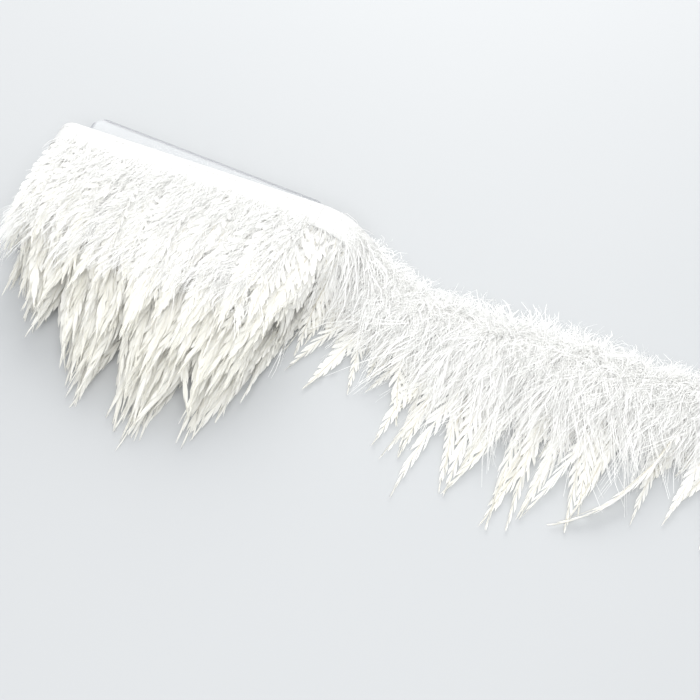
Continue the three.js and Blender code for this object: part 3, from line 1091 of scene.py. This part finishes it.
def wound_down(side, turn, rows, pitch):
    """Tufts near the header in one turn's layer, that many rows of them at this pitch."""
    back = side == "back"
    level = turn if back else turn + 0.5
    around = np.concatenate([spread_roots(side, turn, pitch) for _ in range(rows)])
    n = len(around)
    first = -DOWN_PAST_RIBBON if turn == TURNS and not back else 0
    start = between(first, DOWN_DEPTH, rng.random(n) ** 1.6)
    length = rng.uniform(*DOWN_LENGTHS, n)
    t = STEPS[None]
    path = around[:, None] + rng.normal(0, DOWN_DRIFT, n)[:, None] * t
    y = ROOT_Y - start[:, None] - length[:, None] * t
    place, out = on_coil(np.full((n, DEGREE + 1), float(level)), path, y, back)
    height = rng.uniform(*DOWN_HEIGHTS, n)[:, None, None]
    height = height * (1.2 if turn == TURNS and not back else 0.3)
    place = held_in(place + out * (0.8 + height * (0.4 + 2 * STEPS[None, :, None])))
    width = rng.uniform(*DOWN_WIDTHS, n) * np.where(around < -FLAT_HALF + 3, 0.45, 1)
    piece = plant(f"{side}_down_{turn}", combed + downs[:2], place, out, width,
                  rng.normal(0, 0.4, n), down_material)
    return ride(piece, "feather")


wound_downs = [wound_down("top", TURNS, 20, 2.2), wound_down("back", TURNS, 2, 3.0)]
wound_downs += [wound_down("top", turn, 1, 5.0) for turn in (1, 2, 3, 4, 5)]
print("wound down:", sum(len(p.data.polygons) for p in wound_downs), "faces")

# %% [markdown]
# ## How feathers lie on the free stretch
# On the table nothing presses the feathers flat. Each spine leaves the ribbon, bows up and comes down
# to the table, and its tip clings in a lock with gaps beside it. The stretch is cut into six clumps,
# as the frame is, and each clump's feathers make one piece.

# %% Spines of the free stretch
CLUMPS, CLUMP_START, TAIL_LOCK = 6, 0.16, 19
TAIL_REACH = [(95, 0.62), (125, 0.72), (165, 1), (222, 0.88), (245, 0.72), (292, 0.74)]


def free_spines(s, reach, lean, height, root_below=TAPE_WIDTH - 1.5, cling=0.5):
    """Spines rooted at the lengths s along the free header, with their bow's height over the table."""
    n = len(s)
    root = free.place(s, np.full(n, root_below), rng.uniform(-0.2, 0.4, n))
    tip_x = root[:, 0] + reach * np.sin(lean)
    lock = np.round(tip_x / TAIL_LOCK)
    tip_x = between(tip_x, lock * TAIL_LOCK + 5 * np.sin(lock * 2.1), cling)
    t = STEPS[None]
    bow = rng.normal(0, SWAY, n)[:, None] * np.sin(np.pi * t)
    x = root[:, :1] + (tip_x - root[:, 0])[:, None] * t**1.2 + bow
    y = root[:, 1:2] - (reach * np.cos(lean))[:, None] * t
    ground = np.maximum(root[:, 2] - 1.5, 0)[:, None] * (1 - ease(t * 1.7))
    z = 1.1 + ground + height[:, None] * np.sin(np.pi * np.minimum(t * 1.25, 1)) + 0.5 * (1 - t)
    out = np.zeros((n, DEGREE + 1, 3))
    out[..., 2] = 1
    return np.stack([x, y, z], -1), out


def clump_range(clump):
    """Where one clump starts and ends along the free header."""
    span = (1 - CLUMP_START) / CLUMPS
    start = 0.0 if clump == 1 else CLUMP_START + (clump - 1) * span
    return start * free.length, (CLUMP_START + clump * span) * free.length


print("clumps end at", [round(clump_range(c)[1]) for c in range(1, CLUMPS + 1)], "mm")

# %% [markdown]
# ## Feathers and down of the free stretch
# Single long feathers run out of the down onto the table, leaning a little back toward the card, and
# the down stands highest beside the ribbon and covers it. About one feather in three is a long one.

# %% Free feathers and down
FREE_PITCH, FREE_DOWN_PER_MM, LONG_SHARE, ABOVE_SHARE = 2.8, 18, 0.3, 0.2
LONG_REACH, SHORT_REACH, ABOVE_REACH, BELOW_REACH = (78, 96), (40, 72), (8, 18), (17, 86)
FREE_WIDTHS, FREE_DOWN_WIDTHS = (3.5, 6), (6, 11)
FREE_HEIGHTS, FREE_DOWN_HEIGHTS = (0.6, 6.0), (2, 10)


def free_feathers(clump):
    """One clump's feathers, evenly spaced along the header, with long and short ones mixed."""
    low, high = clump_range(clump)
    s = np.arange(low, high, FREE_PITCH)
    s = s + rng.uniform(-0.6, 0.6, len(s))
    longest = rng.random(len(s)) < LONG_SHARE
    reach = np.where(longest, rng.uniform(*LONG_REACH, len(s)), rng.uniform(*SHORT_REACH, len(s)))
    reach = reach * np.interp(free.place(s, 0 * s, 0 * s)[:, 0], *zip(*TAIL_REACH))
    height = rng.uniform(*FREE_HEIGHTS, len(s))
    spine, out = free_spines(s, reach, rng.normal(-0.08, 0.17, len(s)), height)
    piece = plant(f"free_feathers_{clump}", wisps + feathers[:2], spine, out,
                  rng.uniform(*FREE_WIDTHS, len(s)), rng.normal(0, 0.45, len(s)), web_material)
    return ride(piece, "feather", f"tail_feathers_{clump}")


def free_down(clump):
    """One clump's down. Some tufts point up past the ribbon, and most lie among the feathers."""
    low, high = clump_range(clump)
    n = int((high - low) * FREE_DOWN_PER_MM)
    s = rng.uniform(low, high, n)
    aim = rng.random(n)
    above = aim < ABOVE_SHARE
    up = rng.uniform(*ABOVE_REACH, n)
    reach = np.where(above, up, between(*BELOW_REACH, rng.random(n) ** 3.2))
    reach = reach * np.interp(free.place(s, 0 * s, 0 * s)[:, 0], *zip(*TAIL_REACH))
    lean = np.where(above, np.pi + rng.normal(0, 0.9, n), rng.normal(-0.05, 0.42, n))
    height = rng.uniform(*FREE_DOWN_HEIGHTS, n)
    below = rng.uniform(0.15, 1.0, n) * TAPE_WIDTH
    spine, out = free_spines(s, reach, lean, height, root_below=below, cling=0.4)
    spine[..., 2] += 1.2 * (1 - STEPS)
    piece = plant(f"free_down_{clump}", downs + combed, spine, out,
                  rng.uniform(*FREE_DOWN_WIDTHS, n), rng.normal(0, 0.5, n), down_material)
    return ride(piece, "feather")


tail = [make(clump) for clump in range(1, CLUMPS + 1) for make in (free_feathers, free_down)]
print("free stretch:", sum(len(p.data.polygons) for p in tail), "faces")

# %% [markdown]
# ## One curled feather
# Near the far end one feather has turned on its edge and curled back toward the card. Its shaft shows as
# a thin darker line. It is too singular to leave to chance, so it is one feather on a spine of six given
# points, with a stouter shaft.

# %% Curled feather
CURLED = np.array([[(257, 47, 5), (256, 30, 8), (252, 12, 6),
                    (246, -6, 4.5), (236, -18, 3), (221, -28, 1.6)]])
CURLED_WIDTH, CURLED_ROLL, CURLED_SHAFT = 5.5, 1.0, 0.55
curled_out = np.tile([0.0, 0, 1], (1, DEGREE + 1, 1))
shaft = tube_master("curled_shaft", 6, 10, 1, 0.25)
web = plant("curled_feather", [feathers[3]], CURLED, curled_out,
            np.array([CURLED_WIDTH]), np.array([CURLED_ROLL]), web_material)
stem = plant("curled_quill", [shaft], CURLED, curled_out,
             np.array([CURLED_SHAFT]), np.array([0.0]), horn)
tail += [ride(web, "feather"), ride(stem, "quill_ends")]
print("curled feather", len(web.data.polygons), "faces")

# %% [markdown]
# ## The free stretch's route
# The free stretch hangs and bends like a cord, and a user of this part may want to lay it again. Its
# route along the outer ribbon is worked out here in metres, and the pieces sewn to it are counted.

stations = len(free.run)
route = free.place(free.run, np.full(stations, TAPE_WIDTH / 2), np.full(stations, RIBBON_OFF)) * MM
print("declared", round(free.length), "mm with", len(sewn["tail"]) + len(tail) + 2, "pieces on it")

# %% [markdown]
# ## Finish
# The masters have done their work and are removed. The loose down may only stand a little way out of
# the frame.

# %% Finish
for master in [quill, stitch, shaft, *feathers, *wisps, *downs, *combed]:
    bpy.data.meshes.remove(master.mesh)
